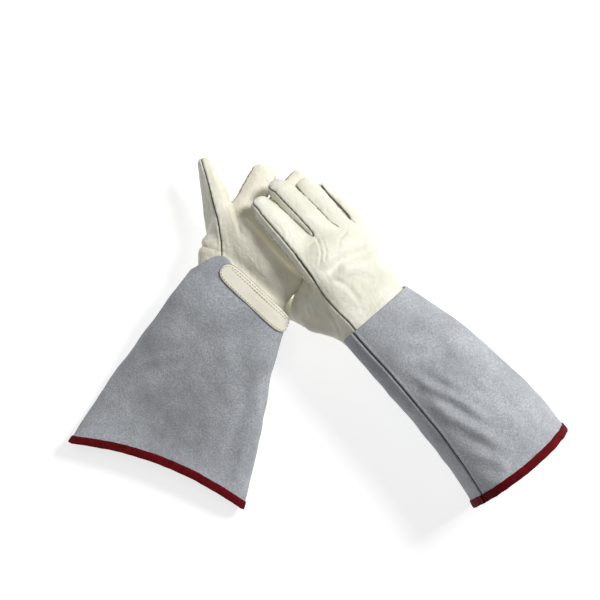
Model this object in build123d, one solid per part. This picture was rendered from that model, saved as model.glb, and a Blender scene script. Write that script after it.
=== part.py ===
from build123d import *
import os
from math import cos, radians, sin

# A pair of long leather gauntlet gloves, filled out as if worn and clasped. The left glove lies palm up.
# The right glove lies over it with its back up and its thumb under the left heel. Each leather panel, strip,
# strap and tape is a solid of its own. Millimetres, Z up, floor at Z = 0.

os.makedirs("parts", exist_ok=True)

# Leather
HAND_WALL = 1.6  # full-grain leather of the hands
SUEDE_WALL = 1.9  # split suede of the gauntlets
TAPE_WALL = 3.2  # binding tape folded round the suede's raw edge
STRAP_THICKNESS = 2.0
SEAM_GAP = 0.3  # between two sewn panels of one body
JOINT_GAP = 0.8  # from a hinge plane to the leather each side of it
CORNER = 0.96  # a section's corner radius over half its smaller side
TRIM = 1.6  # how much a trimming solid is grown, so that a trimmed stall clears its neighbour
TIP_ANGLES = (0, 30, 55, 75)  # stations round a closed finger tip
CENTRE = (0, 4, 0)  # brings the pair's footprint over the origin

# Gauntlets
CUFF_LENGTH_LEFT = 224
CUFF_LENGTH_RIGHT = 233
TAPE_WIDTH = 9
STRAP_START = 4
STRAP_WIDTH = 24
STRAP_LENGTH = 84
STRAP_LIFT = 0.3

PRESSED = 0.4  # how far the left gauntlet's underside is pressed flat where it lies on the floor

SIDE_SHARE = 0.5  # height of a finger's side strips over the finger's thickness
REACH = 200  # larger than any stall


def limb(point, heading, pitch=0.0, roll=0.0):
    """The base plane of a limb: its z runs along the limb, its x to the limb's left and its y up."""
    along = Vector(1, 0, 0).rotate(Axis.Y, -pitch).rotate(Axis.Z, heading)
    level_left = Vector(0, 1, 0).rotate(Axis.Z, heading)
    level_up = along.cross(level_left)
    left = level_left * cos(radians(roll)) + level_up * sin(radians(roll))
    return Plane(origin=point, x_dir=left, z_dir=along)


def oval(width, height):
    return RectangleRounded(width, height, CORNER * min(width, height) / 2)


def half_ring(width, height, wall, half):
    """One half of a tube's section, above (half = 1) or below (half = -1) the seam."""
    ring = oval(width, height) - oval(width - 2 * wall, height - 2 * wall)
    keep = Pos(0, half * (height + SEAM_GAP) / 2) * Rectangle(2 * width, height)
    return ring & keep


def half_tube(sections, wall, half):
    """A leather panel through sections, each a plane, a width and a height."""
    rings = [plane * half_ring(width, height, wall, half) for plane, width, height in sections]
    return loft(rings, ruled=True)


def core(sections, grow=0.0):
    """The solid that a tube's sections enclose, grown all round."""
    faces = [plane * oval(width + 2 * grow, height + 2 * grow) for plane, width, height in sections]
    return loft(faces, ruled=True)


def stall_sections(plane, length, base, middle, tip, shrink=0.0):
    """Sections of a finger stall with a rounded end. base, middle and tip are each a width and a height."""
    radius = tip[0] / 2
    sections = [
        (plane, base[0] - 2 * shrink, base[1] - 2 * shrink),
        (plane.offset(0.5 * length), middle[0] - 2 * shrink, middle[1] - 2 * shrink),
    ]
    for angle in TIP_ANGLES:
        along = length - radius + (radius - shrink) * sin(radians(angle))
        narrow = cos(radians(angle))
        width = (tip[0] - 2 * shrink) * narrow
        height = (tip[1] - 2 * shrink) * (0.35 + 0.65 * narrow)
        sections.append((plane.offset(along), width, height))
    return sections


def stall(plane, length, base, middle, tip):
    """A hollow finger stall, open at its base, and the solid of its hollow."""
    outer = core(stall_sections(plane, length, base, middle, tip))
    inner_sections = stall_sections(plane, length, base, middle, tip, HAND_WALL)
    hollow = core(inner_sections)
    base_hollow = core([(plane.offset(-2 * HAND_WALL), *inner_sections[0][1:]), inner_sections[0]])
    return outer - hollow - base_hollow, hollow + base_hollow


def keep(shape, plane, low, high):
    """The part of a shape inside a box given in a limb's own left, up and along directions."""
    size = [b - a for a, b in zip(low, high)]
    middle = [(a + b) / 2 for a, b in zip(low, high)]
    return shape & (plane * Pos(*middle) * Box(*size))


def two_panels(shell, plane):
    """Upper and lower halves of a stall."""
    above = keep(shell, plane, (-REACH, SEAM_GAP / 2, -REACH), (REACH, REACH, REACH))
    below = keep(shell, plane, (-REACH, -REACH, -REACH), (REACH, -SEAM_GAP / 2, REACH))
    return above, below


def four_strips(shell, plane, height):
    """Upper, lower, left and right leather strips of a finger stall."""
    edge = SIDE_SHARE * height / 2
    inside = edge - SEAM_GAP / 2
    outside = edge + SEAM_GAP / 2
    above = keep(shell, plane, (-REACH, outside, -REACH), (REACH, REACH, REACH))
    below = keep(shell, plane, (-REACH, -REACH, -REACH), (REACH, -outside, REACH))
    left = keep(shell, plane, (SEAM_GAP / 2, -inside, -REACH), (REACH, inside, REACH))
    right = keep(shell, plane, (-REACH, -inside, -REACH), (-SEAM_GAP / 2, inside, REACH))
    return above, below, left, right


def write(name, shape):
    """Writes one node. A trim can leave slivers, so only the largest solid is kept, flat on the floor."""
    solid = max(shape.solids(), key=lambda one: one.volume)
    if solid.bounding_box().min.Z < 0:
        solid -= Pos(0, 0, -REACH / 2) * Box(4 * REACH, 4 * REACH, REACH)
    export_step(Pos(*CENTRE) * solid, f"parts/{name}.step")


def finger_plane(knuckles, across, lift, heading, pitch, roll, base):
    """A finger's base plane, just far enough ahead of the knuckle plane for all of its base to clear it."""
    ahead = knuckles.z_dir
    root = knuckles.origin + knuckles.x_dir * across + knuckles.y_dir * lift
    plane = limb(root, heading, pitch, roll)
    reach = base[0] / 2 * abs(plane.x_dir.dot(ahead)) + base[1] / 2 * abs(plane.y_dir.dot(ahead))
    return plane.offset((reach + JOINT_GAP) / plane.z_dir.dot(ahead))


def write_fingers(side, up, down, knuckles, fingers):
    """Every finger of one glove. up and down name the leather that faces up and down."""
    for name, (across, lift, heading, pitch, roll, length, base, tip) in fingers.items():
        middle = [(a + b) / 2 for a, b in zip(base, tip)]
        plane = finger_plane(knuckles, across, lift, heading, pitch, roll, base)
        shell, _ = stall(plane, length, base, middle, tip)
        above, below, left, right = four_strips(shell, plane, base[1])
        write(f"{side}_{name}_{up}", above)
        write(f"{side}_{name}_{down}", below)
        write(f"{side}_{name}_left_side", left)
        write(f"{side}_{name}_right_side", right)


def rim_cylinder(plane, length, width, sag, set_back):
    """An upright cylinder beyond a cuff's mouth, which cuts its rim in a shallow curve."""
    radius = ((width / 2) ** 2 + sag**2) / (2 * sag)
    centre = plane.offset(length - sag + radius).origin
    return Pos(centre.X, centre.Y, 0) * Cylinder(radius + set_back, 400)


def write_gauntlet(side, up, down, sections, plane, length, sag, strap_half):
    """Two suede panels, the binding round the mouth, and the strap on the palm side of the wrist."""
    width = sections[-1][1]
    clear = rim_cylinder(plane, length, width, sag, TAPE_WIDTH + SEAM_GAP)
    write(f"{side}_gauntlet_{up}", half_tube(sections, SUEDE_WALL, 1) - clear)
    write(f"{side}_gauntlet_{down}", half_tube(sections, SUEDE_WALL, -1) - clear)
    inner = [(place, wide - 2 * TAPE_WALL, high - 2 * TAPE_WALL) for place, wide, high in sections[-2:]]
    inner.append((inner[-1][0].offset(1), *inner[-1][1:]))
    tape = core(sections[-2:]) - core(inner)
    tape = tape & rim_cylinder(plane, length, width, sag, TAPE_WIDTH)
    write(f"{side}_binding", tape - rim_cylinder(plane, length, width, sag, 0))
    start, end = STRAP_START, STRAP_START + STRAP_WIDTH
    low = core(sections[:2], STRAP_LIFT)
    strap = core(sections[:2], STRAP_LIFT + STRAP_THICKNESS) - low
    near, far = sorted((0.35 * sections[0][2] * strap_half, REACH * strap_half))
    half = STRAP_LENGTH / 2
    write(f"{side}_wrist_strap", keep(strap, plane, (-half, near, start), (half, far, end)))


# Left glove, palm up. Each section of a hand is a plane, a width and a height.
LEFT_WRIST = (-82, 41, 46)
LEFT_HEADING = 64.4
left_hand_sections = [
    (limb(LEFT_WRIST, LEFT_HEADING).offset(JOINT_GAP), 100, 42),
    (limb((-74.5, 80, 45), 65, roll=2), 114, 38),
    (limb((-53, 117, 44), 57, roll=3), 92, 32),
]
left_thumb_plane = limb((-108, 98, 47), 100.5)
left_thumb_shell, left_thumb_hollow = stall(left_thumb_plane, 97, (36, 30), (31, 26), (18, 18))
left_thumb_shell -= core(left_hand_sections, TRIM)
write("left_hand_palm", half_tube(left_hand_sections, HAND_WALL, 1) - left_thumb_hollow)
write("left_hand_back", half_tube(left_hand_sections, HAND_WALL, -1) - left_thumb_hollow)
thumb_front, thumb_back = two_panels(left_thumb_shell, left_thumb_plane)
write("left_thumb_front", thumb_front)
write("left_thumb_back", thumb_back)

# place along the knuckles (left is positive), lift, heading, pitch, roll, length, base and tip
LEFT_FINGERS = {
    "index": (34.5, 0, 62, -21, 3, 67, (22, 21), (18, 17)),
    "middle": (11.5, 0, 54.5, -21, 3, 76, (21, 21), (18, 17)),
    "ring": (-11.5, 0, 46, -21, 3, 69, (20.5, 20), (17, 16)),
    "little": (-34, 0, 38, -21, 3, 56, (18, 18), (15, 15)),
}
write_fingers("left", "front", "back", left_hand_sections[-1][0], LEFT_FINGERS)

left_cuff_plane = limb(LEFT_WRIST, LEFT_HEADING + 180)
LEFT_CUFF = (
    (JOINT_GAP, 104, 44, 46),
    (36, 118, 44, 46),
    (104, 150, 50 + PRESSED, 25 - PRESSED / 2),
    (CUFF_LENGTH_LEFT, 206, 34 + PRESSED, 17 - PRESSED / 2),
)


def cuff_sections(point, heading, roll, rows):
    """Sections of a gauntlet from rows of distance, width, height and the section centre's own height."""
    base = limb((point[0], point[1], 0), heading, roll=0)
    places = [base.offset(distance).origin for distance, _, _, _ in rows]
    return [
        (limb((place.X, place.Y, middle), heading, roll=roll), width, height)
        for place, (_, width, height, middle) in zip(places, rows)
    ]


left_cuff = cuff_sections(LEFT_WRIST, LEFT_HEADING + 180, 0, LEFT_CUFF)
write_gauntlet("left", "front", "back", left_cuff, left_cuff_plane, CUFF_LENGTH_LEFT, 14, 1)

# Right glove, back up
RIGHT_WRIST = (62, 19, 80)
RIGHT_HEADING = 133.8
RIGHT_ROLL = 14
right_hand_sections = [
    (limb(RIGHT_WRIST, RIGHT_HEADING, roll=RIGHT_ROLL).offset(JOINT_GAP), 86, 54),
    (limb((36, 60, 78), 119, roll=24), 83, 42),
    (limb((20, 104, 71), 128, roll=35), 96, 32),
]
thenar_plane = limb((12, 28, 88), 225, pitch=-74)
thenar_shell, thenar_hollow = stall(thenar_plane, 84, (46, 30), (48, 32), (34, 26))
right_thumb_plane = limb((-4, 19, 10), 166)
right_thumb_shell, right_thumb_hollow = stall(right_thumb_plane, 58, (25, 20), (23, 19), (18, 17))
right_hand_core = core(right_hand_sections, TRIM)
thenar_core = core(stall_sections(thenar_plane, 84, (46, 30), (48, 32), (34, 26)), TRIM)
write("right_hand_back", half_tube(right_hand_sections, HAND_WALL, 1) - thenar_hollow)
write("right_hand_palm", half_tube(right_hand_sections, HAND_WALL, -1) - thenar_hollow)
thenar_back, thenar_palm = two_panels(thenar_shell - right_hand_core - right_thumb_hollow, thenar_plane)
write("right_thumb_base_back", thenar_back)
write("right_thumb_base_palm", thenar_palm)
thumb_above, thumb_below = two_panels(right_thumb_shell - thenar_core, right_thumb_plane)
write("right_thumb_front", thumb_above)
write("right_thumb_back", thumb_below)

RIGHT_FINGERS = {
    "index": (33, -1, 142, -10, 14, 83, (24, 20), (19, 17)),
    "middle": (10, 2, 140, -10, 30, 90, (20, 20), (18, 17)),
    "ring": (-13, 1, 135.5, -8, 44, 77, (18, 19), (16, 16)),
    "little": (-34, -3, 132, -4, 54, 54, (16, 17), (14, 14)),
}
write_fingers("right", "back", "front", right_hand_sections[-1][0], RIGHT_FINGERS)

RIGHT_CUFF = (
    (JOINT_GAP, 89, 60, 80),
    (CUFF_LENGTH_RIGHT, 133, 132.4, 66.5),
)
right_cuff_plane = limb(RIGHT_WRIST, RIGHT_HEADING + 180, roll=-RIGHT_ROLL)
right_cuff = cuff_sections(RIGHT_WRIST, RIGHT_HEADING + 180, -RIGHT_ROLL, RIGHT_CUFF)
write_gauntlet("right", "back", "front", right_cuff, right_cuff_plane, CUFF_LENGTH_RIGHT, 2, -1)
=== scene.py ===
"""A pair of long leather gauntlet gloves, filled and clasped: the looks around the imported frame.
Shapes are worked out in millimetres, in the frame's axes, and written as meshes in metres."""

import math
from collections import namedtuple

import bpy
import numpy as np
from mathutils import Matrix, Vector


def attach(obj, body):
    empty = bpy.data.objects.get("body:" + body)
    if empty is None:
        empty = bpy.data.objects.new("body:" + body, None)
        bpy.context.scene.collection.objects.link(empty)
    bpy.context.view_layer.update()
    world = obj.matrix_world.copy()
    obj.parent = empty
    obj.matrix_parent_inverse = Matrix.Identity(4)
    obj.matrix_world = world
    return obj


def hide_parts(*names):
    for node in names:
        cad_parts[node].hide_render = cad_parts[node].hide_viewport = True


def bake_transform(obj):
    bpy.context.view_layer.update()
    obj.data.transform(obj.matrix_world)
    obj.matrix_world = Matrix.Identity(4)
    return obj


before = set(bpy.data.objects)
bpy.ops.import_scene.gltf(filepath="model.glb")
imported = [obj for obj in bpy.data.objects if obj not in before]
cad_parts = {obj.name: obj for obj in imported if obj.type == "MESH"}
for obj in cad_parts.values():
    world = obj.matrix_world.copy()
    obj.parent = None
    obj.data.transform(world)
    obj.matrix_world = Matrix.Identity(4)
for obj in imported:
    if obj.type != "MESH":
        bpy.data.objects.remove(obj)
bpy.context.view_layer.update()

MM = 0.001
PITCH = 1.0  # grid of the hands' leather
FAR = 24.0  # a limb's distance is worked out this far from it
SQUARENESS = 2.5  # of a limb's section: 2 is an ellipse

# Leather and suede
BODY_BLEND = 14.0  # how softly the parts of a palm run together
DIGIT_BLEND = 7.0  # and a digit into its palm
DIGIT_GAP = 1.0  # between two fingers that lie together
CUT_BACK = 3.0  # how far along a digit its own leather starts
HAND_WALL = 1.6
SUEDE_WALL = 1.9
SIDE_SHARE = 0.46  # height of a finger's side strips over its thickness
SEAM_DEPTH = 0.9
SEAM_WIDTH = 0.75
WELT_HEIGHT = 0.45
WELT_PLACE = 2.1  # from the seam's bottom to the rolled edge beside it
WRIST_OVERLAP = 10.0  # how far a hand's leather runs on inside its gauntlet

Section = namedtuple("Section", "centre left half_width half_height along")


def unit(vector):
    return vector / np.linalg.norm(vector)


def limb_axes(heading, pitch=0.0, roll=0.0):
    """A limb's left, up and along directions."""
    turn, rise, tilt = (math.radians(angle) for angle in (heading, pitch, roll))
    along = np.array([math.cos(rise) * math.cos(turn), math.cos(rise) * math.sin(turn), math.sin(rise)])
    level_left = np.array([-math.sin(turn), math.cos(turn), 0.0])
    level_up = np.cross(along, level_left)
    left = level_left * math.cos(tilt) + level_up * math.sin(tilt)
    return left, np.cross(along, left), along


def chain(rows):
    """A limb's sections from its rows."""
    sections = []
    travelled = 0.0
    for x, y, z, heading, pitch, roll, half_width, half_height in rows:
        centre = np.array([x, y, z], float)
        if sections:
            travelled += np.linalg.norm(centre - sections[-1].centre)
        left, _, _ = limb_axes(heading, pitch, roll)
        sections.append(Section(centre, left, half_width, half_height, travelled))
    return sections


def place_in_limb(points, limb):
    """Distance to a limb's skin, place along, across and above its axis, and its half sizes there."""
    best = None
    for first, second in zip(limb[:-1], limb[1:]):
        axis = second.centre - first.centre
        length = np.linalg.norm(axis)
        ahead = axis / length
        offset = points - first.centre
        travel = offset @ ahead
        share = np.clip(travel / length, 0, 1)
        start_left = unit(first.left - ahead * (first.left @ ahead))
        end_left = unit(second.left - ahead * (second.left @ ahead))
        start_up, end_up = np.cross(ahead, start_left), np.cross(ahead, end_left)
        across = offset @ start_left * (1 - share) + offset @ end_left * share
        above = offset @ start_up * (1 - share) + offset @ end_up * share
        beyond = travel - share * length
        wide = first.half_width + share * (second.half_width - first.half_width)
        high = first.half_height + share * (second.half_height - first.half_height)
        cap = np.minimum(wide, high)
        u, v, w = np.abs(across) / wide, np.abs(above) / high, np.abs(beyond) / cap
        flat = (u**SQUARENESS + v**SQUARENESS + 1e-9) ** (1 / SQUARENESS)
        reach = np.sqrt(flat**2 + w**2)
        falloff = flat ** (2 - SQUARENESS)
        slope = np.sqrt(
            (u ** (SQUARENESS - 1) * falloff / wide) ** 2
            + (v ** (SQUARENESS - 1) * falloff / high) ** 2
            + (w / cap) ** 2
        )
        distance = (reach - 1) * reach / (slope + 1e-6)
        here = np.stack([distance, first.along + travel, across, above, wide, high])
        best = here if best is None else np.where(distance < best[0], here, best)
    return best


def smooth_min(a, b, width):
    share = np.clip(0.5 + 0.5 * (b - a) / width, 0, 1)
    return b + (a - b) * share - width * share * (1 - share)


def smooth_max(a, b, width):
    return -smooth_min(-a, -b, width)


class Hand:
    """One glove's leather as a field: body limbs run together, digits kept apart, flats cut off."""

    def __init__(self, side, body, digits, facets):
        self.side = side
        self.body = {name: chain(rows) for name, rows in body.items()}
        self.digits = {name: chain(rows) for name, rows in digits.items()}
        self.limbs = {**self.body, **self.digits}
        self.facets = facets

    def join(self, values, points):
        """The field at points from each limb's own distance there."""
        for name, (point, normal, edge) in self.facets.items():
            values[name] = smooth_max(values[name], (points - point) @ normal, edge)
        names = list(self.body)
        skin = values[names[0]]
        for name in names[1:]:
            skin = smooth_min(skin, values[name], BODY_BLEND)
        fingers = None
        for name in self.digits:
            others = np.minimum.reduce([values[other] for other in self.digits if other != name])
            own = np.maximum(values[name], (values[name] - others + DIGIT_GAP) / 2)
            fingers = own if fingers is None else np.minimum(fingers, own)
        return smooth_min(skin, fingers, DIGIT_BLEND)

    def field(self, points):
        values = {name: place_in_limb(points, limb)[0] for name, limb in self.limbs.items()}
        return self.join(values, points)


def limb_box(limb):
    """The corners of a box well round a limb."""
    reach = max(max(section.half_width, section.half_height) for section in limb) * 1.1 + FAR / 2
    centres = np.array([section.centre for section in limb])
    return centres.min(0) - reach, centres.max(0) + reach


def sampled(hand):
    """The hand's field on a regular grid, with the grid's lowest corner."""
    boxes = {name: limb_box(limb) for name, limb in hand.limbs.items()}
    low = np.min([box[0] for box in boxes.values()], axis=0)
    high = np.max([box[1] for box in boxes.values()], axis=0)
    counts = np.ceil((high - low) / PITCH).astype(int) + 1
    axes = [low[k] + PITCH * np.arange(counts[k]) for k in range(3)]
    values = {}
    for name, limb in hand.limbs.items():
        start = np.maximum(np.floor((boxes[name][0] - low) / PITCH).astype(int), 0)
        stop = np.minimum(np.ceil((boxes[name][1] - low) / PITCH).astype(int) + 1, counts)
        part = [axes[k][start[k] : stop[k]] for k in range(3)]
        points = np.stack(np.meshgrid(*part, indexing="ij"), -1).reshape(-1, 3)
        whole = np.full(counts, FAR, np.float32)
        distance = np.minimum(place_in_limb(points, limb)[0], FAR)
        whole[tuple(slice(start[k], stop[k]) for k in range(3))] = distance.reshape([len(p) for p in part])
        values[name] = whole.reshape(-1)
    points = np.stack(np.meshgrid(*axes, indexing="ij"), -1).reshape(-1, 3).astype(np.float32)
    return hand.join(values, points).reshape(counts), low


def surface_net(values, low):
    """Vertices and outward quads of the surface where a sampled field is zero."""
    inside = values < 0
    corners = [(i, j, k) for i in (0, 1) for j in (0, 1) for k in (0, 1)]
    shape = np.array(values.shape) - 1
    window = [tuple(slice(c[k], c[k] + shape[k]) for k in range(3)) for c in corners]
    count = sum(inside[w].astype(np.int8) for w in window)
    cells = np.argwhere((count > 0) & (count < 8))
    number = np.full(tuple(shape), -1, np.int64)
    number[tuple(cells.T)] = np.arange(len(cells))
    at_corner = [values[tuple((cells + np.array(c)).T)] for c in corners]
    total, crossings = np.zeros((len(cells), 3)), np.zeros(len(cells))
    for a, first in enumerate(corners):
        for b, second in enumerate(corners):
            if b > a and sum(abs(p - q) for p, q in zip(first, second)) == 1:
                va, vb = at_corner[a], at_corner[b]
                crossed = (va < 0) != (vb < 0)
                share = np.where(crossed, va / np.where(crossed, va - vb, 1), 0)
                place = np.array(first) + share[:, None] * (np.array(second) - np.array(first))
                total += place * crossed[:, None]
                crossings += crossed
    vertices = low + PITCH * (cells + total / crossings[:, None])
    quads = []
    steps = np.eye(3, dtype=int)
    for axis in range(3):
        edges = np.argwhere(np.diff(inside, axis=axis))
        p, q = steps[(axis + 1) % 3], steps[(axis + 2) % 3]
        keep = np.all(edges - p - q >= 0, axis=1) & np.all(edges < shape, axis=1)
        edges = edges[keep]
        ring = [number[tuple((edges - d).T)] for d in (p * 0, p, p + q, q)]
        quad = np.stack(ring, 1)
        outward = inside[tuple(edges.T)]
        quads.append(np.where(outward[:, None], quad, quad[:, ::-1]))
    return vertices, np.concatenate(quads)


def gradient(function, points, step=0.35):
    """The direction in which a field grows, from four samples round each point."""
    total = np.zeros_like(points)
    for corner in ((1, 1, 1), (1, -1, -1), (-1, 1, -1), (-1, -1, 1)):
        offset = np.array(corner, float)
        total += function(points + step * offset)[:, None] * offset
    return total / (4 * step)


def settle(hand, vertices):
    """Moves vertices onto the field's own zero, and adds their outward directions."""
    for _ in range(2):
        grown = gradient(hand.field, vertices)
        size = np.maximum((grown**2).sum(1), 0.05)
        move = hand.field(vertices) / size
        vertices = vertices - np.clip(move, -PITCH, PITCH)[:, None] * grown
    grown = gradient(hand.field, vertices)
    return vertices, grown / np.linalg.norm(grown, axis=1)[:, None]


def ripple(points, size, seed):
    """Smooth uneven values from -1 to 1 with features about that size."""
    draw = np.random.default_rng(seed)
    total = np.zeros(len(points))
    for _ in range(9):
        direction = unit(draw.normal(size=3))
        wave = 2 * math.pi / (size * draw.uniform(0.7, 1.8))
        slow = unit(draw.normal(size=3))
        bend = 1.5 * np.sin(points @ slow * 2 * math.pi / (size * 2.7) + draw.uniform(0, 6))
        total += np.sin(points @ direction * wave + bend + draw.uniform(0, 2 * math.pi))
    return total / 4.5


def line_distance(points, line):
    """Level distance from points to a line of x and y places, with the share along it."""
    line = np.array(line, float)
    lengths = np.linalg.norm(np.diff(line, axis=0), axis=1)
    whole = lengths.sum()
    best = np.full(len(points), 1e9)
    share = np.zeros(len(points))
    travelled = 0.0
    for first, second, length in zip(line[:-1], line[1:], lengths):
        ahead = (second - first) / length
        travel = np.clip((points[:, :2] - first) @ ahead, 0, length)
        gap = np.linalg.norm(points[:, :2] - first - travel[:, None] * ahead, axis=1)
        near = gap < best
        best = np.where(near, gap, best)
        share = np.where(near, (travelled + travel) / whole, share)
        travelled += length
    return best, share


def groove(distance, width):
    return np.exp(-((distance / width) ** 2))


# The two hands

WRISTS = {"left": np.array([-82.0, 45.0, 46.0]), "right": np.array([62.0, 23.0, 80.0])}
HEADINGS = {"left": 64.4, "right": 133.8}
# Each limb's rows: x, y, z, heading, pitch, roll, half width and half height
LEFT_BODY = {
    "palm": (
        (-90, 28, 46, 64.4, 0, 0, 51, 20), (-82, 45, 46, 64.4, 0, 0, 50.5, 20.5),
        (-75, 82, 45, 65, 0, 2, 56.5, 19), (-62, 110, 44, 60, 0, 3, 50, 17),
        (-54, 121, 43, 57, 0, 3, 45, 15),
    ),
    "heel": (
        (-96, 124, 52, -40, 0, 0, 14, 13), (-74, 106, 56, -42, 0, 0, 17, 16),
        (-50, 82, 56, -46, 0, 0, 18, 16), (-29, 62, 51, -50, 0, 0, 15.5, 14),
    ),
}
LEFT_DIGITS = {
    "index": (
        (-84, 129, 45, 62, -12, 0, 14, 12), (-79, 139, 43, 62, -16, 0, 14.5, 12),
        (-69.5, 157, 38, 62, -16, 0, 15.5, 12), (-61.5, 172, 33, 62, -16, 0, 15.8, 11.5),
        (-59, 179, 31, 62, -16, 0, 13.8, 10.5),
    ),
    "middle": (
        (-62, 122, 44, 47, -12, 0, 12, 11), (-54, 131, 42, 47, -16, 0, 12, 11),
        (-36, 152, 34, 48, -16, 0, 12.5, 9.5), (-21.5, 169, 26.5, 48, -16, 0, 12.5, 8.5),
        (-17.5, 174, 25, 48, -16, 0, 11.5, 8),
    ),
    "ring": (
        (-44, 111, 42, 45, -14, 2, 11, 10), (-37, 119, 40, 45, -21, 2, 11, 10),
        (-16, 140, 29, 45, -21, 2, 10.5, 9), (0, 156, 21, 45, -21, 2, 9, 8),
    ),
    "little": (
        (-26, 100, 40, 38, -14, 2, 9.5, 9), (-18, 106, 38, 38, -21, 2, 9.5, 9),
        (0, 120, 29, 38, -21, 2, 9, 8.5), (16, 132, 21, 38, -21, 2, 8, 7.5),
    ),
    "thumb": (
        (-106, 88, 46, 97, 0, 0, 24, 17), (-107.5, 104, 47, 97, 0, 0, 22, 16.5),
        (-110.5, 130, 47, 98, 0, 0, 18.5, 15), (-113.5, 157, 47, 101, 0, 0, 15.3, 13),
        (-119, 176, 47, 104, 0, 0, 11.2, 10.5), (-124, 189, 47, 106, 0, 0, 7.5, 7.5),
    ),
}
RIGHT_BODY = {
    "palm": (
        (74, 10.5, 80, 133.8, 0, 14, 44, 28), (62, 23, 80, 133.8, 0, 14, 43.5, 27.5),
        (36, 64, 78, 119, 0, 24, 42, 22), (24, 97, 73, 126, 0, 33, 46, 18),
        (18, 106, 70, 128, 0, 36, 42, 15),
    ),
    "thumb_web": (
        (-2, 66, 64, 250, -35, 0, 11, 9), (-6, 54, 56, 250, -35, 0, 11, 9),
        (-12, 42, 48, 250, -35, 0, 11, 9),
    ),
    "thumb_root": (
        (48, 9, 78, 165, -12, 0, 16, 15), (22, 17, 70, 165, -20, 0, 19, 17),
        (2, 25, 58, 160, -40, 0, 20, 17),
    ),
    "thumb_base": (
        (10, 33, 70, 225, -74, 0, 21, 15), (-3, 28, 54, 225, -74, 0, 21, 15),
        (-11, 26, 34, 225, -74, 0, 19, 15), (-12, 24, 18, 225, -74, 0, 16, 13),
    ),
}
RIGHT_DIGITS = {
    "index": (
        (6, 68, 84, 128, 0, 40, 20, 13), (-16, 94, 87, 130, -4, 43, 19, 13),
        (-36, 115.5, 85, 134, -10, 45, 17, 12), (-54, 134.5, 80.5, 136, -12, 45, 14.5, 11),
        (-61, 142.5, 78.5, 136, -12, 45, 11.5, 9.5),
    ),
    "middle": (
        (14, 105, 76, 135, -6, 36, 14, 12), (2, 117, 76, 135, -6, 38, 14.5, 12),
        (-18, 138, 73, 134.5, -8, 40, 14.5, 12), (-37, 157, 69, 134.5, -8, 40, 13.5, 11.5),
        (-43, 162, 67, 134.5, -8, 40, 11.5, 10),
    ),
    "ring": (
        (36, 108, 64, 130, -6, 30, 11, 11), (26, 120, 63, 130, -6, 30, 11.5, 11),
        (9, 140, 60, 130, -8, 30, 12, 10.5), (-8, 158, 57.5, 132, -8, 30, 12.5, 10.5),
        (-13, 163.5, 56.5, 132, -8, 30, 11.5, 9.5),
    ),
    "little": (
        (48, 117, 53, 132, -4, 54, 9, 9.5), (41, 126, 52, 132, -4, 56, 8.5, 9.5),
        (26, 143, 50, 132, -4, 58, 8.2, 9), (12, 157, 48.5, 132, -4, 58, 7.6, 8),
        (7, 162, 48, 132, -4, 58, 7, 7.2),
    ),
    "thumb": (
        (6, 20, 10.5, 166, 0, 0, 13, 10), (-4, 23, 10.5, 166, 0, 0, 12.5, 10),
        (-32, 30, 10.2, 166, 0, 0, 11.5, 9.6), (-52, 35, 9.5, 166, 0, 0, 9, 8.6),
    ),
}
SIDE_SEAM = np.array([(-24, 89), (-3, 60), (8, 43), (21, 28), (35, 15), (43, 5), (50, -3)], float)
SIDE_SEAM_LEVEL = 70  # the side seam turns the skin above this over to the palm
MOUND_SIDE = np.array([0.762, 0.647, 0.0])  # from the heel's mound towards the fingers
THUMB_SEAM = np.array([(-127.5, 196), (-121, 173), (-115, 150), (-109, 127), (-105, 104), (-104, 80)])


def tilted(outward, slope):
    """A direction leaning from straight up towards outward by slope degrees."""
    return outward * math.sin(math.radians(slope)) + np.array([0, 0, math.cos(math.radians(slope))])


def left_hand():
    run = THUMB_SEAM[0] - THUMB_SEAM[3]
    outward = unit(np.array([-run[1], run[0], 0.0]))
    facets = {
        "thumb": (np.array([*THUMB_SEAM[2], 58.5]), tilted(outward, 56), 2.5),
        "palm": (np.array([-56.7, 114.0, 60.0]), tilted(MOUND_SIDE, 55), 8.0),
        "heel": (np.array([-56.7, 114.0, 66.0]), tilted(MOUND_SIDE, 62), 8.0),
    }
    return Hand("left", LEFT_BODY, LEFT_DIGITS, facets)


def right_hand():
    run = SIDE_SEAM[-2] - SIDE_SEAM[1]
    outward = unit(np.array([run[1], -run[0], 0.0]))
    facets = {"palm": (np.array([*SIDE_SEAM[3], 106.0]), tilted(outward, 52), 3.0)}
    return Hand("right", RIGHT_BODY, RIGHT_DIGITS, facets)


def strip_edge(place, limb):
    """Half the height of a finger's side strip, which narrows to nothing at the tip."""
    left_to_go = limb[-1].along + limb[-1].half_height - place[1]
    return SIDE_SHARE * place[5] * np.sqrt(np.clip(left_to_go / 14, 0, 1))


def beside(points, line):
    """True for points on the left of a level line, looking along it."""
    distance = np.full(len(points), 1e9)
    result = np.zeros(len(points), bool)
    for first, second in zip(line[:-1], line[1:]):
        ahead = unit(second - first)
        offset = points[:, :2] - first
        travel = np.clip(offset @ ahead, 0, np.linalg.norm(second - first))
        gap = np.linalg.norm(offset - travel[:, None] * ahead, axis=1)
        near = gap < distance
        distance = np.where(near, gap, distance)
        side = ahead[0] * offset[:, 1] - ahead[1] * offset[:, 0]
        result = np.where(near, side > 0, result)
    return result


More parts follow.
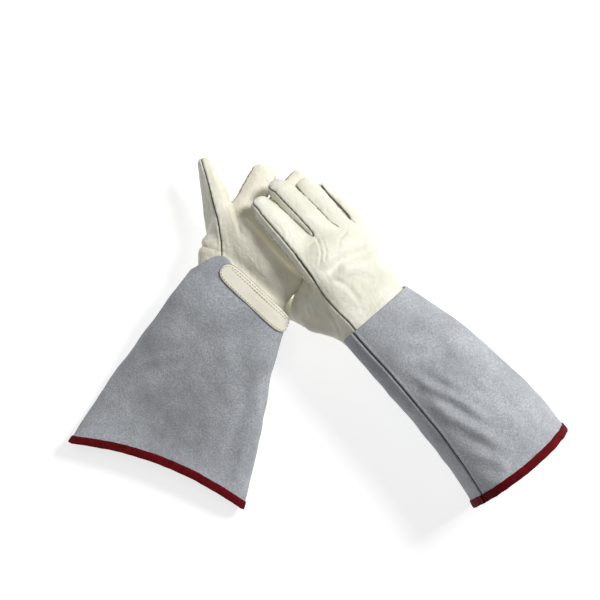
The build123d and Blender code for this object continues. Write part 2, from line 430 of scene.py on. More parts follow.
def seam_distance(hand, places, points):
    """How far each point on a hand's skin is from the nearest seam."""
    nearest = np.full(len(points), 99.0)
    for name, limb in hand.digits.items():
        place = places[name]
        own = (place[0] < 3.5) & (place[1] > -2)
        if name == "thumb" and hand.side == "left":
            continue
        edge = 0 if name == "thumb" else strip_edge(place, limb)
        gap = np.abs(np.abs(place[3]) - edge)
        at_side = np.abs(place[2]) > 0.45 * place[4]
        nearest = np.where(own & at_side, np.minimum(nearest, gap), nearest)
    palm = places["palm"]
    on_palm = (palm[0] < 3.5) & (np.abs(palm[2]) > 0.6 * palm[4])
    line, level = (THUMB_SEAM, 44) if hand.side == "left" else (SIDE_SEAM, 88)
    gap, _ = line_distance(points, line)
    nearest = np.where(points[:, 2] > level, np.minimum(nearest, gap), nearest)
    nearest = np.where(on_palm & (palm[2] < 0), np.minimum(nearest, np.abs(palm[3])), nearest)
    return nearest


CREASES = {  # level lines with their depth and width
    "left": (
        (((-103, 92), (-90, 80), (-60, 55), (-42, 40)), 1.6, 6.0),
        (((-90, 134), (-76, 131), (-57, 114), (-38, 92), (-20, 70)), 3.2, 4.5),
        (((-92, 143), (-86, 125), (-84, 112)), 1.0, 2.5),
        (((-88, 128), (-70, 118), (-50, 102), (-32, 82)), 1.2, 4.0),
    ),
    "right": (
        (((-1, 108), (4, 98), (5, 88), (3, 78)), 1.1, 1.6),
        (((6, 104), (10, 92), (8, 80)), 0.8, 1.8),
        (((12, 66), (26, 81), (42, 89), (64, 95)), 3.4, 5.5),
        (((24, 72), (50, 74), (78, 70)), -2.4, 7.0),
        (((18, 62), (34, 54), (46, 38)), 0.9, 3.0),
        (((34, 116), (25, 104), (24, 96)), 0.9, 2.0),
        (((-14, 46), (-11, 34), (-8, 22)), 1.0, 1.7),
        (((-7, 44), (-4, 32), (0, 20)), 0.8, 1.7),
        (((10, 33), (20, 16), (27, -2)), 1.3, 2.2),
    ),
}


def crease_shape(side, points, normals):
    """How far creases sink the skin, where it faces up."""
    facing = np.clip(normals[:, 2] * 2.0, 0, 1)
    sunk = np.zeros(len(points))
    for line, depth, width in CREASES[side]:
        gap, share = line_distance(points, line)
        fade = np.clip(np.minimum(share, 1 - share) * 6 + 0.15, 0, 1)
        sunk += depth * fade * (groove(gap, width) - 0.35 * groove(gap - 1.8 * width, width))
    return sunk * facing


def dressed(hand, points, normals, places):
    """The skin moved for seams, creases and uneven filling, with how deep in a seam each point is, and
    painted shade darkening the gaps between digits in the same values.
    """
    gap = seam_distance(hand, places, points)
    sunk = SEAM_DEPTH * groove(gap, SEAM_WIDTH) - WELT_HEIGHT * groove(gap - WELT_PLACE, 1.1)
    pucker = 0.28 * groove(gap, 5.0) * ripple(points, 5.0, 3)
    uneven = 0.35 * ripple(points, 26.0, 5) + 0.12 * ripple(points, 9.0, 7)
    wrinkled = np.clip(0.35 + ripple(points, 45.0, 19), 0, 1)
    uneven -= 0.5 * wrinkled * groove(ripple(points, 15.0, 23), 0.16)
    uneven -= 0.3 * (1 - wrinkled) * groove(ripple(points, 9.0, 29), 0.14)
    move = -sunk - crease_shape(hand.side, points, normals) + pucker + uneven
    digits = np.sort([places[name][0] for name in hand.digits], axis=0)
    # Painted shade: where two digits lie close together the skin is darkened like a seam, standing in for
    # the shade in the gap between them.
    painted_gap_shade = np.where(digits[0] < 3, 0.7 * groove(digits[1] - digits[0], 1.3), 0)
    return points + normals * move[:, None], np.maximum(groove(gap, 0.95 * SEAM_WIDTH), painted_gap_shade)


def face_names(hand, points):
    """The leather piece that each face belongs to, by the face's middle."""
    side = hand.side
    places = {name: place_in_limb(points, limb) for name, limb in hand.limbs.items()}
    up, down = ("front", "back") if side == "left" else ("back", "front")
    palm = places["palm"]
    upper = palm[3] > 0
    names = np.where(upper, "left_hand_palm", "left_hand_back").astype(object)
    if side == "right":
        upper &= ~((points[:, 2] > SIDE_SEAM_LEVEL) & beside(points, SIDE_SEAM[::-1]))
        names = np.where(upper, "right_hand_back", "right_hand_palm").astype(object)
        base = places["thumb_base"]
        own = base[0] < np.minimum(palm[0], 3.0)
        names[own & (base[3] > 0)] = "right_thumb_base_back"
        names[own & (base[3] <= 0)] = "right_thumb_base_palm"
    nearest = np.minimum.reduce([places[name][0] for name in hand.digits])
    for name, limb in hand.digits.items():
        place = places[name]
        reach = 3.5 if name == "thumb" else 8.0
        past_hinge = place[1] - limb[1].along > CUT_BACK
        own = (place[0] <= nearest) & (place[0] < reach) & past_hinge
        if name == "thumb":
            above = place[3] > 0
            if side == "left":
                above &= beside(points, THUMB_SEAM)
            names[own & above] = f"{side}_thumb_front"
            names[own & ~above] = f"{side}_thumb_back"
            continue
        edge = strip_edge(place, limb)
        names[own & (place[3] >= edge)] = f"{side}_{name}_{up}"
        names[own & (place[3] <= -edge)] = f"{side}_{name}_{down}"
        strip = own & (np.abs(place[3]) < edge)
        names[strip & (place[2] > 0)] = f"{side}_{name}_left_side"
        names[strip & (place[2] <= 0)] = f"{side}_{name}_right_side"
    return names


def add_object(name, data):
    obj = bpy.data.objects.new(name, data)
    bpy.context.scene.collection.objects.link(obj)
    return obj


def mesh_object(name, vertices, faces, material, seam=None):
    """A smooth mesh object from millimetres, with how deep in a seam its points are, painted shade and
    shadow included where the values carry them.
    """
    mesh = bpy.data.meshes.new(name)
    mesh.from_pydata((np.asarray(vertices) * MM).tolist(), [], [list(map(int, face)) for face in faces])
    if seam is not None:
        layer = mesh.attributes.new("seam", "FLOAT", "POINT")
        layer.data.foreach_set("value", np.asarray(seam, np.float32))
    mesh.shade_smooth()
    mesh.materials.append(material)
    return add_object(name, mesh)


def part_of_mesh(name, vertices, normals, faces, values, material, wall):
    """One piece cut from a whole skin, shaded as the skin is, with an inner side if it has a wall."""
    used, renumbered = np.unique(faces, return_inverse=True)
    faces = renumbered.reshape(-1, 4)
    points, outward, seam = vertices[used], normals[used], values[used]
    if wall:
        count = len(points)
        faces = np.concatenate([faces, faces[:, ::-1] + count])
        points = np.concatenate([points, points - outward * wall])
        outward = np.concatenate([outward, -outward])
        seam = np.concatenate([seam, seam * 0])
    obj = mesh_object(name, points, faces, material, seam)
    obj.data.normals_split_custom_set_from_vertices(outward.tolist())
    return obj


def vertex_normals(vertices, quads):
    """Area-weighted normals of a quad mesh."""
    first, second, third, fourth = (vertices[quads[:, k]] for k in range(4))
    flat = np.cross(third - first, fourth - second)
    total = np.zeros_like(vertices)
    for k in range(4):
        np.add.at(total, quads[:, k], flat)
    return total / np.maximum(np.linalg.norm(total, axis=1), 1e-9)[:, None]


def build_hand(hand, materials):
    """All of one hand's leather, the palm's pieces riding on the hand's body, the digits' pieces left where
    they are.
    """
    values, low = sampled(hand)
    vertices, quads = surface_net(values, low)
    vertices, outward = settle(hand, vertices)
    places = {name: place_in_limb(vertices, limb) for name, limb in hand.limbs.items()}
    # seam carries each point's seam depth together with the painted shade between digits.
    vertices, seam = dressed(hand, vertices, outward, places)
    normals = vertex_normals(vertices, quads)
    middles = vertices[quads].mean(1)
    _, _, along = limb_axes(HEADINGS[hand.side])
    kept = (middles - WRISTS[hand.side]) @ along > -WRIST_OVERLAP
    quads, middles = quads[kept], middles[kept]
    names = face_names(hand, middles)
    side = hand.side
    for name in sorted(set(names)):
        word = name.split("_")[1]
        is_body = word == "hand" or "thumb_base" in name
        kind = "palm_leather" if "palm" in name or "front" in name else "back_leather"
        faces, wall = quads[names == name], HAND_WALL * is_body
        piece = part_of_mesh(f"{name}_leather", vertices, normals, faces, seam, materials[kind], wall)
        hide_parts(name)
        if is_body:
            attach(piece, f"{side}_hand")
            continue
        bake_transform(piece)


# Gauntlets, bindings and straps

WIDTH, HEIGHT, LEVEL, SHIFT = range(1, 5)  # columns of a gauntlet's rows, after the distance along it
LEFT_CUFF = ((-30, 112, 43, 46, 0), (36, 132, 45, 46, -4.5), (104, 161, 50, 25, -3.5), (224, 206, 34, 17, 0))
RIGHT_CUFF = (
    (-10, 89, 60, 80, 0.5), (36, 103, 72, 78, 5), (110, 117, 95, 73, 9), (233, 133, 132.4, 66.5, 0.5)
)
Cuff = namedtuple("Cuff", "side wrist left up along rows roundness length sag skew seams start")


def row_curve(cuff, column, distance):
    """One value of a gauntlet's rows at distances along it, by a cubic through four rows."""
    rows = np.array(cuff.rows, float)
    return np.polyval(np.polyfit(rows[:, 0], rows[:, column], 3), distance)


def left_start(across):
    """Where the left gauntlet's suede starts, with a tongue beside the thumb."""
    return np.interp(across, (-60, -54, -46, -38, -30, -20, 12, 57), (-1, -14, -27, -30, -28, -22, -4, 5))


def right_start(across):
    return np.interp(across, (-50, 0, 50), (-2.5, 0.5, 2.5))


def cuffs():
    """The two gauntlets, each with its axes running from the wrist towards the mouth."""
    left_axes = limb_axes(HEADINGS["left"] + 180)
    right_axes = limb_axes(HEADINGS["right"] + 180, roll=-14)
    return (
        Cuff(
            "left", WRISTS["left"], *left_axes, LEFT_CUFF, roundness=2.5, length=223.0, sag=14.0, skew=-8.0,
            seams=((0.0, 0.0), (180.0, 180.0)), start=left_start,
        ),
        Cuff(
            "right", WRISTS["right"], *right_axes, RIGHT_CUFF, roundness=2.15, length=233.0, sag=-4.0,
            skew=4.0, seams=((-38.0, -24.0), (143.0, 158.0)), start=right_start,
        ),
    )


def cuff_point(cuff, distance, angle, sink=0.0):
    """Points on a gauntlet, sunk below its outside, at distances along it and angles round it."""
    columns = (WIDTH, HEIGHT, LEVEL, SHIFT)
    width, height, level, shift = (row_curve(cuff, column, distance) for column in columns)
    turn, rise = np.cos(angle), np.sin(angle)
    power = 2 / cuff.roundness
    across = (width / 2 - sink) * signed_power(turn, power)
    above = (height / 2 - sink) * signed_power(rise, power)
    points = cuff.wrist + distance[..., None] * cuff.along
    points[..., 2] = level
    points = points + (across + shift)[..., None] * cuff.left + above[..., None] * cuff.up
    return points, across, above


FOLDS = {  # lines over a gauntlet as distance along and share across, with height and width
    "left": (
        (((136, -0.86), (112, -0.70), (84, -0.34)), 1.3, 5.0),
        (((60, 0.75), (110, 0.88), (150, 0.80), (200, 0.86)), 1.5, 6.0),
        (((80, 0.62), (130, 0.70), (190, 0.66)), -1.1, 8.0),
        (((30, 0.1), (90, 0.22), (160, 0.16)), 0.7, 12.0),
        (((150, -0.5), (185, -0.42), (215, -0.46)), 0.8, 12.0),
        (((100, 0.42), (150, 0.36), (205, 0.44)), 0.8, 9.0),
    ),
    "right": (
        (((66, -0.60), (95, -0.52), (135, -0.28), (170, -0.20)), 2.4, 5.5),
        (((96, -0.66), (135, -0.62), (180, -0.38), (206, -0.30)), 2.2, 6.0),
        (((88, -0.30), (130, -0.12), (160, 0.02)), 1.5, 6.0),
        (((40, -0.30), (60, 0.02), (66, 0.30)), 1.3, 6.5),
        (((150, 0.02), (190, 0.12), (214, 0.10)), 1.4, 9.0),
        (((20, 0.35), (70, 0.45), (120, 0.42)), 1.0, 9.0),
        (((176, -0.75), (205, -0.50), (222, -0.45)), 1.8, 6.0),
    ),
}


def fold_height(cuff, distance, across, above):
    """How far folds raise the suede's upper side."""
    flat = np.stack([distance.ravel(), across.ravel()], 1)
    total = np.zeros(len(flat))
    for line, height, breadth in FOLDS[cuff.side]:
        halves = row_curve(cuff, WIDTH, np.array([d for d, _ in line], float)) / 2
        gap, along = line_distance(flat, [(d, s * half) for (d, s), half in zip(line, halves)])
        fade = np.clip(np.minimum(along, 1 - along) * 4, 0, 1)
        total += height * fade * (groove(gap, breadth) - 0.5 * groove(gap - 1.7 * breadth, breadth))
    return total.reshape(distance.shape) * np.clip(above / 8, 0, 1)


def rim(cuff, angle):
    """How far along the mouth's edge is at each angle: it sags mid-side and runs askew."""
    turn = signed_power(np.cos(angle), 2 / cuff.roundness)
    return cuff.length - cuff.sag * (1 - turn**2) + cuff.skew * turn


def suede_surface(cuff, distance, angle, sink=0.0):
    """The gauntlet's skin with its folds and unevenness, sunk below its outside."""
    points, across, above = cuff_point(cuff, distance, angle, sink)
    width = row_curve(cuff, WIDTH, distance)
    outward = unit_rows(across[..., None] / width[..., None] * cuff.left + above[..., None] / 60 * cuff.up)
    flat = points.reshape(-1, 3)
    soft = 1.1 * ripple(flat, 75.0, 11) + 0.5 * ripple(flat, 28.0, 13)
    near_wrist = np.clip((distance - 20) / 40, 0, 1)
    seam_gap = np.minimum.reduce([seam_turn(cuff, distance, angle, k) for k in (0, 1)])
    seam = 1.6 * groove(seam_gap, 1.2) - 0.7 * groove(seam_gap - 3.2, 1.6)
    folds = fold_height(cuff, distance, across, above)
    lift = soft.reshape(distance.shape) * near_wrist + folds - seam
    points = points + outward * lift[..., None]
    points[..., 2] = np.maximum(points[..., 2], 0.3 + sink)
    return points, groove(seam_gap, 1.15)


def signed_power(value, power):
    return np.sign(value) * np.abs(value) ** power


def unit_rows(vectors):
    return vectors / np.maximum(np.linalg.norm(vectors, axis=-1, keepdims=True), 1e-9)


def seam_turn(cuff, distance, angle, which):
    """How far round the gauntlet, in millimetres, a side seam is."""
    first, last = cuff.seams[which]
    place = np.radians(first + (last - first) * np.clip(distance / cuff.length, 0, 1))
    width, height = (row_curve(cuff, column, distance) for column in (WIDTH, HEIGHT))
    turned = np.abs(np.angle(np.exp(1j * (angle - place))))
    return turned * (width + height) / 4


def grid_faces(rows, columns, wrap=(0, 0)):
    """Quads over a grid of points kept row by row. wrap is 1 where rows or columns close up."""
    index = np.arange(rows * columns).reshape(rows, columns)
    index = np.pad(index, [(0, more) for more in wrap], "wrap")
    return np.stack([index[:-1, :-1], index[:-1, 1:], index[1:, 1:], index[1:, :-1]], -1).reshape(-1, 4)


def close_sheet(outer, inner):
    """The faces of a panel with thickness, from equal grids outside and inside."""
    rows, columns = outer.shape[:2]
    count = rows * columns
    faces = [grid_faces(rows, columns), grid_faces(rows, columns)[:, ::-1] + count]
    index = np.arange(count).reshape(rows, columns)
    for edge in (index[0], index[-1][::-1], index[:, 0][::-1], index[:, -1]):
        faces.append(np.stack([edge[1:], edge[:-1], edge[:-1] + count, edge[1:] + count], 1))
    return np.concatenate([outer.reshape(-1, 3), inner.reshape(-1, 3)]), np.concatenate(faces)


def build_panel(cuff, name, first, second, material):
    """One suede panel between two side seams, from the wrist to the mouth."""
    step = 1.6
    rows = int(cuff.length / step)
    columns = int(290 / step)
    share = np.linspace(0, 1, rows)[:, None] * np.ones(columns)
    sweep = np.ones((rows, 1)) * np.linspace(0, 1, columns)
    angle = (first[0] + (second[0] - first[0]) * sweep) * math.pi / 180
    for _ in range(3):
        width = row_curve(cuff, WIDTH, rim(cuff, angle) * share)
        across = width / 2 * signed_power(np.cos(angle), 2 / cuff.roundness)
        upper = np.clip(np.sin(angle) * 4 + 0.5, 0, 1)
        start = cuff.start(across) * upper
        distance = start + (rim(cuff, angle) - 0.8 - start) * share
        turn = np.clip(distance / cuff.length, 0, 1)
        low = first[0] + (first[1] - first[0]) * turn
        high = second[0] + (second[1] - second[0]) * turn
        angle = (low + (high - low) * sweep) * math.pi / 180
    outer, seam = suede_surface(cuff, distance, angle)
    inner, _ = suede_surface(cuff, distance, angle, SUEDE_WALL)
    points, faces = close_sheet(outer, inner)
    seam = np.concatenate([seam.ravel(), seam.ravel() * 0])
    piece = mesh_object(f"{name}_suede", points, faces[:, ::-1], material, seam)
    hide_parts(name)
    bend_at_wrist(piece)


def bend_at_wrist(piece):
    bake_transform(piece)


def build_binding(cuff, material):
    """The tape folded over the mouth's edge, all the way round."""
    around = 520
    angle = np.linspace(0, 2 * math.pi, around, endpoint=False)
    edge = rim(cuff, angle)
    outside, _ = suede_surface(cuff, edge, angle)
    inside, _ = suede_surface(cuff, edge, angle, SUEDE_WALL)
    behind, _ = suede_surface(cuff, edge - 6, angle)
    ahead = unit_rows(outside - behind)
    outward = unit_rows(outside - inside)
    middle = (outside + inside) / 2
    wobble = 0.35 * ripple(middle, 14.0, 17)
    profile = []
    for turn in np.linspace(0, 2 * math.pi, 28, endpoint=False):
        reach = 4.9 * signed_power(math.cos(turn), 0.35) - 3.9
        rise = 2.35 * signed_power(math.sin(turn), 0.55)
        profile.append(middle + ahead * (reach + wobble)[:, None] + outward * rise)
    points = np.stack(profile, 1)
    points[..., 2] = np.maximum(points[..., 2], 0.15)
    faces = grid_faces(*points.shape[:2], (1, 1))
    piece = mesh_object(f"{cuff.side}_binding_tape", points.reshape(-1, 3), faces, material)
    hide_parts(f"{cuff.side}_binding")
    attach(piece, f"{cuff.side}_gauntlet")
    return middle, ahead, outward


BAR_PLACES = (-1, -0.7, 0, 0.7, 1)  # rings along one thread, over half its length
BAR_SIDES = 6
STITCH_LENGTH = 2.6
THREAD = 0.42  # half its thickness


def stitch(at, ahead, upward):
    """Vertices and faces of one short thread, pressed into the leather at both ends."""
    side = np.cross(upward, ahead)
    points = []
    for share in BAR_PLACES:
        girth = THREAD * (0.5 if abs(share) == 1 else 1.0)
        rise = THREAD * (0.75 - 1.1 * share**4)
        for turn in np.linspace(0, 2 * math.pi, BAR_SIDES, endpoint=False):
            offset = side * math.cos(turn) * girth + upward * (math.sin(turn) * girth + rise)
            points.append(at + ahead * share * STITCH_LENGTH / 2 + offset)
    return np.array(points), grid_faces(len(BAR_PLACES), BAR_SIDES, (0, 1))


def build_stitches(name, places, material):
    """Stitches as one piece, from places that each hold a point, its line's direction and outward."""
    points, faces = [], []
    for at, ahead, upward in places:
        made, quads = stitch(at, ahead, upward)
        faces.append(quads + len(made) * len(points))
        points.append(made)
    piece = mesh_object(name, np.concatenate(points), np.concatenate(faces), material)
    return piece


STITCH_SPACING = 3.6
STITCH_INSET = 2.6  # of the line round the strap
SECOND_INSET = 5.6  # of the second line, along the side towards the fingers
STRAPS = {  # distance along and place across of each end's middle, half width, thickness
    "left": ((-14.5, -21.0), (8.5, 50.0), 11.5, 1.5),
    "right": ((12.0, -24.0), (12.0, 36.0), 12.0, 2.0),
}


def strap_surface(cuff, lengthwise, sideways, lift, face):
    """Points over a gauntlet, by millimetres along and beside the strap's own middle line."""
    first, second, _, _ = STRAPS[cuff.side]
    run = np.array(second) - np.array(first)
    ahead = unit(run)
    middle = np.array(first) + run / 2
    distance = middle[0] + lengthwise * ahead[0] - sideways * ahead[1]
    across = middle[1] + lengthwise * ahead[1] + sideways * ahead[0]
    width = row_curve(cuff, WIDTH, distance)
    share = np.clip((across - row_curve(cuff, SHIFT, distance)) / (width / 2), -0.995, 0.995)
    angle = face * np.arccos(signed_power(share, cuff.roundness / 2))
    outer, _ = suede_surface(cuff, distance, angle, -lift - 0.8)
    return outer


def build_strap(cuff, leather, thread):
    """The cream patch with round ends over the wrist seam, with its stitches and a painted shadow darkening
    its edge all round.
    """
    first, second, half_width, thickness = STRAPS[cuff.side]
    face = 1 if cuff.side == "left" else -1
    length = np.linalg.norm(np.array(second) - np.array(first)) + 2 * half_width
    rings, spokes = 12, 150
    turn = np.linspace(0, 2 * math.pi, spokes, endpoint=False)

    def outline(inset):
        """A rounded oblong in the strap's own plane."""
        reach = np.array([length / 2 - inset, half_width - inset])
        along = signed_power(np.cos(turn), 0.28) * reach[0]
        aside = signed_power(np.sin(turn), 0.8) * reach[1]
        return along, aside

    sheets = []
    for ring in range(rings + 1):
        inset = half_width * ring / rings
        edge = 1.0 - min(inset / 2.0, 1.0)
        lift = thickness * math.sqrt(max(0.0, 1 - edge**2)) + 0.1
        along, aside = outline(min(inset, half_width - 0.05))
        sheets.append(strap_surface(cuff, along, aside, lift, face))
    top = np.stack(sheets)
    along, aside = outline(0.6)
    under = strap_surface(cuff, along, aside, -1.2, face)[None]
    points = np.concatenate([under, top]).reshape(-1, 3)
    faces = grid_faces(rings + 2, spokes, (0, 1)).tolist()
    faces.append(list(range(len(points) - spokes, len(points))))
    if face < 0:
        faces = [list(reversed(one)) for one in faces]
    # Painted shadow: the underside and outer rim of the strap get a full seam value, so the rim is painted
    # dark, standing in for the shadow its raised edge casts.
    painted_edge_shadow = np.repeat([1.0, 0.75, 0.1] + [0.0] * (rings - 1), spokes)
    piece = mesh_object(f"{cuff.side}_strap_leather", points, faces, leather, painted_edge_shadow)
    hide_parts(f"{cuff.side}_wrist_strap")
    bend_at_wrist(piece)

    def sewn_line(along, aside, closed=False):
        line = strap_surface(cuff, along, aside, thickness, face)
        above = strap_surface(cuff, along, aside, thickness + 1.0, face)
        return along_line(line, above, STITCH_SPACING, closed)

    threads = sewn_line(*outline(STITCH_INSET), closed=True)
    inner = np.linspace(-0.4 * length, 0.4 * length, spokes)
    threads += sewn_line(inner, np.full(spokes, half_width - SECOND_INSET))
    sewn = build_stitches(f"{cuff.side}_strap_stitches", threads, thread)
    bend_at_wrist(sewn)


def along_line(line, above, spacing, closed=False):
    """Evenly spaced places along a line of points, each with its direction and outward."""
    if closed:
        line, above = (np.concatenate([part, part[:1]]) for part in (line, above))
    steps = np.linalg.norm(np.diff(line, axis=0), axis=1)
    travelled = np.concatenate([[0], np.cumsum(steps)])

    def point_at(distance, points):
        return np.array([np.interp(distance, travelled, column) for column in points.T])

    places = []
    for at in np.arange(spacing / 2, travelled[-1], spacing):
        point = point_at(at, line)
        places.append((point, unit(point_at(at + 0.8, line) - point), unit(point_at(at, above) - point)))
    return places


# Materials


class Paint:
    """A material put together node by node, with texture places in the piece's own metres."""

    def __init__(self, name):
        self.material = bpy.data.materials.new(name)
        self.material.use_nodes = True
        self.nodes = self.material.node_tree.nodes
        self.link = self.material.node_tree.links.new
        self.surface = self.nodes["Principled BSDF"]
        self.place = self.nodes.new("ShaderNodeTexCoord").outputs["Object"]

    def fill(self, socket, value):
        """Gives a socket a number, a colour or another node's output."""
        if isinstance(value, tuple):
            socket.default_value = (*value, 1)
        elif isinstance(value, float):
            socket.default_value = value
        else:
            self.link(value, socket)

    def noise(self, size_mm, detail=3.0, roughness=0.55, stretch=None):
        node = self.nodes.new("ShaderNodeTexNoise")
        node.inputs["Scale"].default_value = 1 / (size_mm * MM)
        node.inputs["Detail"].default_value = detail
        node.inputs["Roughness"].default_value = roughness
        source = self.place
        if stretch:
            mapping = self.nodes.new("ShaderNodeMapping")
            mapping.inputs["Scale"].default_value = stretch
            self.link(self.place, mapping.inputs["Vector"])
            source = mapping.outputs["Vector"]
        self.link(source, node.inputs["Vector"])
        return node.outputs["Fac"]

    def cells(self, size_mm):
        node = self.nodes.new("ShaderNodeTexVoronoi")
        node.inputs["Scale"].default_value = 1 / (size_mm * MM)
        self.link(self.place, node.inputs["Vector"])
        return node.outputs["Distance"]

    def spread(self, value, low, high, to_low=0.0, to_high=1.0):
        node = self.nodes.new("ShaderNodeMapRange")
        for key, number in zip(("From Min", "From Max", "To Min", "To Max"), (low, high, to_low, to_high)):
            node.inputs[key].default_value = number
        self.link(value, node.inputs["Value"])
        return node.outputs["Result"]

    def mix(self, share, first, second, mode="MIX"):
        node = self.nodes.new("ShaderNodeMix")
        node.data_type = "RGBA"
        node.blend_type = mode
        for number, value in ((0, share), (6, first), (7, second)):
            self.fill(node.inputs[number], value)
        return node.outputs[2]

    def sums(self, first, second, operation="ADD"):
        node = self.nodes.new("ShaderNodeMath")
        node.operation = operation
        self.fill(node.inputs[0], first)
        self.fill(node.inputs[1], second)
        return node.outputs[0]

    def seam(self, low, high):
        """How deep in a seam the skin is, spread from 0 to 1; on the hands this also holds the painted shade
        between digits, on the straps the painted shadow round their edge.
        """
        node = self.nodes.new("ShaderNodeAttribute")
        node.attribute_name = "seam"
        return self.spread(node.outputs["Fac"], low, high)

    def bump(self, height, depth_mm, strength=1.0, under=None):
        node = self.nodes.new("ShaderNodeBump")
        node.inputs["Distance"].default_value = depth_mm * MM
        node.inputs["Strength"].default_value = strength
        self.link(height, node.inputs["Height"])
        if under:
            self.link(under, node.inputs["Normal"])
        return node.outputs["Normal"]

    def finish(self, colour, rough, normal, **values):
        self.link(colour, self.surface.inputs["Base Color"])
        self.fill(self.surface.inputs["Roughness"], rough)
        self.link(normal, self.surface.inputs["Normal"])
        for key, value in values.items():
            self.surface.inputs[key.replace("_", " ")].default_value = value
        return self.material


# Dark colour of the sewn seams, also used for the painted shade in the gaps between digits.
SEAM_AND_GAP_SHADE_DARK = (0.075, 0.065, 0.045)


def leather(name, light, shade, seam):
    """Full-grain leather: fine pebbled grain, soft wrinkles, cloudy tone, dark sewn seams, and in the seam
    colour the painted shade between digits and the painted shadow round a strap's edge.
    """
    paint = Paint(name)
    clouds = paint.spread(paint.noise(38, 4.0), 0.35, 0.68)
    colour = paint.mix(clouds, shade, light)
    specks = paint.spread(paint.noise(2.2, 2.0), 0.3, 0.7)
    colour = paint.mix(paint.sums(specks, 0.10, "MULTIPLY"), colour, shade)
    # The seam colour also paints the shade between digits and the shadow round a strap's edge.
    colour = paint.mix(paint.seam(0.10, 0.75), colour, seam)
    grain = paint.cells(1.3)
    wrinkles = paint.noise(6.5, 5.0, 0.6, stretch=(1.0, 1.6, 1.0))
    normal = paint.bump(wrinkles, 0.9, 0.35)
    normal = paint.bump(grain, 0.16, 0.45, under=normal)
    rough = paint.spread(specks, 0.0, 1.0, 0.46, 0.62)
    return paint.finish(colour, rough, normal, Specular_IOR_Level=0.35, Sheen_Weight=0.05)


def suede(name, light, dark, seam):
    """Split suede: a short brushed nap in cloudy patches, speckled by its fibres."""
    paint = Paint(name)
    clouds = paint.spread(paint.noise(55, 5.0, 0.6), 0.34, 0.66)
    colour = paint.mix(clouds, dark, light)
    brushed = paint.spread(paint.noise(9, 3.0, 0.6, stretch=(1.0, 0.35, 1.0)), 0.35, 0.7)
    colour = paint.mix(paint.sums(brushed, 0.35, "MULTIPLY"), colour, light)
    fibres = paint.spread(paint.noise(1.9, 3.0, 0.7), 0.32, 0.68)
    colour = paint.mix(paint.sums(fibres, 0.75, "MULTIPLY"), colour, tuple(0.62 * part for part in dark))
    colour = paint.mix(paint.seam(0.15, 0.8), colour, seam)
    normal = paint.bump(paint.noise(12, 4.0, 0.65), 1.2, 0.3)
    normal = paint.bump(fibres, 0.5, 0.5, under=normal)
    return paint.finish(
        colour, 0.95, normal, Specular_IOR_Level=0.12, Sheen_Weight=0.25, Sheen_Roughness=0.5
    )


def tape(name, red, deep):
    """Woven binding tape: a fine rib in cloudy tones of red."""
    paint = Paint(name)
    wave = paint.nodes.new("ShaderNodeTexWave")
    wave.inputs["Scale"].default_value = 1 / (1.1 * MM) / 20
    wave.inputs["Distortion"].default_value = 1.5
    paint.link(paint.place, wave.inputs["Vector"])
    clouds = paint.spread(paint.noise(7, 3.0), 0.3, 0.7)
    colour = paint.mix(clouds, deep, red)
    threads = paint.noise(0.9, 2.0)
    normal = paint.bump(threads, 0.35, 0.6)
    normal = paint.bump(wave.outputs["Fac"], 0.3, 0.4, under=normal)
    return paint.finish(colour, 0.78, normal, Specular_IOR_Level=0.1)


def thread_paint(name, light, dark):
    paint = Paint(name)
    colour = paint.mix(paint.spread(paint.noise(2.5), 0.3, 0.7), dark, light)
    normal = paint.bump(paint.noise(0.5, 2.0), 0.15, 0.6)
    return paint.finish(colour, 0.7, normal, Specular_IOR_Level=0.3)


def floor_paint():
    paint = Paint("floor_white")
    paint.surface.inputs["Emission Color"].default_value = (1, 1, 1, 1)
    paint.surface.inputs["Emission Strength"].default_value = 0.72
    colour = paint.mix(paint.noise(300), (0.50, 0.50, 0.50), (0.52, 0.52, 0.52))
    return paint.finish(colour, 0.9, paint.bump(paint.noise(40), 0.1, 0.1), Specular_IOR_Level=0.05)


# The photographer's table

VIEW_SPAN = 0.66
CAMERA_HEIGHT = 3.2
CAMERA_AIM = (-0.01815, 0.0392)
SUBJECT_LEVEL = 0.06


LIGHT_AIM = Vector((0, 0, 0.05))


def area_light(name, place, size, power):
    data = bpy.data.lights.new(name, "AREA")
    data.shape = "DISK"
    data.size = size
    data.energy = power
    obj = add_object(name, data)
    obj.location = place
    obj.rotation_euler = (obj.location - LIGHT_AIM).to_track_quat("Z", "Y").to_euler()


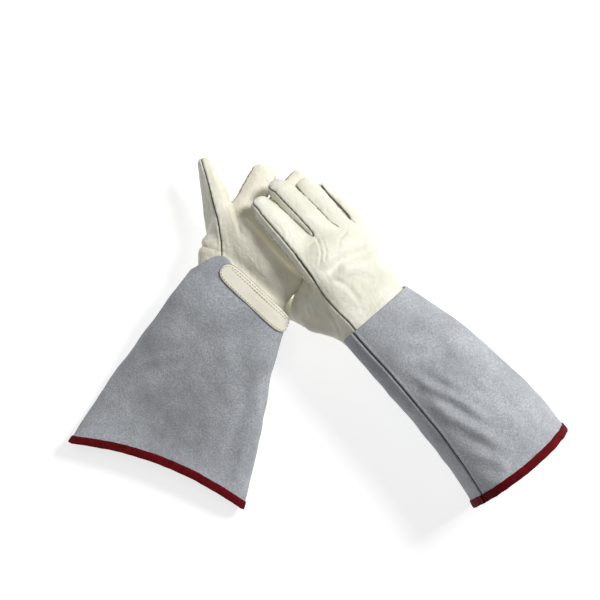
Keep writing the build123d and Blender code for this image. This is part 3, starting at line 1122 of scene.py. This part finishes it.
def studio():
    """Floor, soft light from the upper right and a long lens straight above."""
    scene = bpy.context.scene
    bpy.ops.mesh.primitive_plane_add(size=12, location=(0, 0, -0.0005))
    floor = bpy.context.active_object
    floor.name = "floor"
    floor.data.materials.append(floor_paint())
    world = bpy.data.worlds.new("studio")
    world.use_nodes = True
    background = world.node_tree.nodes["Background"].inputs
    background["Color"].default_value = (1, 1, 1, 1)
    background["Strength"].default_value = 0.16
    scene.world = world
    area_light("key", (1.45, 1.1, 1.85), 0.8, 58)
    area_light("top", (-0.5, 0.7, 2.4), 1.2, 8)
    data = bpy.data.cameras.new("camera")
    data.sensor_width = 36.0
    data.lens = data.sensor_width * (CAMERA_HEIGHT - SUBJECT_LEVEL) / VIEW_SPAN
    camera = add_object("camera", data)
    camera.location = (*CAMERA_AIM, CAMERA_HEIGHT)
    scene.camera = camera
    scene.view_settings.view_transform = "Standard"


def build():
    cream = {
        "palm_leather": leather("palm_leather", (0.90, 0.875, 0.755), (0.74, 0.705, 0.57), SEAM_AND_GAP_SHADE_DARK),
        "back_leather": leather("back_leather", (0.86, 0.85, 0.745), (0.70, 0.685, 0.565), SEAM_AND_GAP_SHADE_DARK),
    }
    # The strap leather's dark colour is only the painted shadow round the strap's edge.
    strap_leather = leather("strap_leather", (0.92, 0.89, 0.78), (0.80, 0.765, 0.64), (0.10, 0.085, 0.06))
    nap = suede("suede", (0.60, 0.625, 0.66), (0.36, 0.375, 0.40), (0.09, 0.09, 0.095))
    red = tape("binding_tape", (0.15, 0.003, 0.006), (0.07, 0.001, 0.002))
    cotton = thread_paint("thread", (0.62, 0.57, 0.44), (0.42, 0.37, 0.26))
    for hand in (left_hand(), right_hand()):
        build_hand(hand, cream)
    for cuff in cuffs():
        up, down = ("front", "back") if cuff.side == "left" else ("back", "front")
        first, second = cuff.seams
        around = tuple(angle + 360 for angle in first)
        build_panel(cuff, f"{cuff.side}_gauntlet_{up}", first, second, nap)
        build_panel(cuff, f"{cuff.side}_gauntlet_{down}", second, around, nap)
        build_binding(cuff, red)
        build_strap(cuff, strap_leather, cotton)


build()
studio()
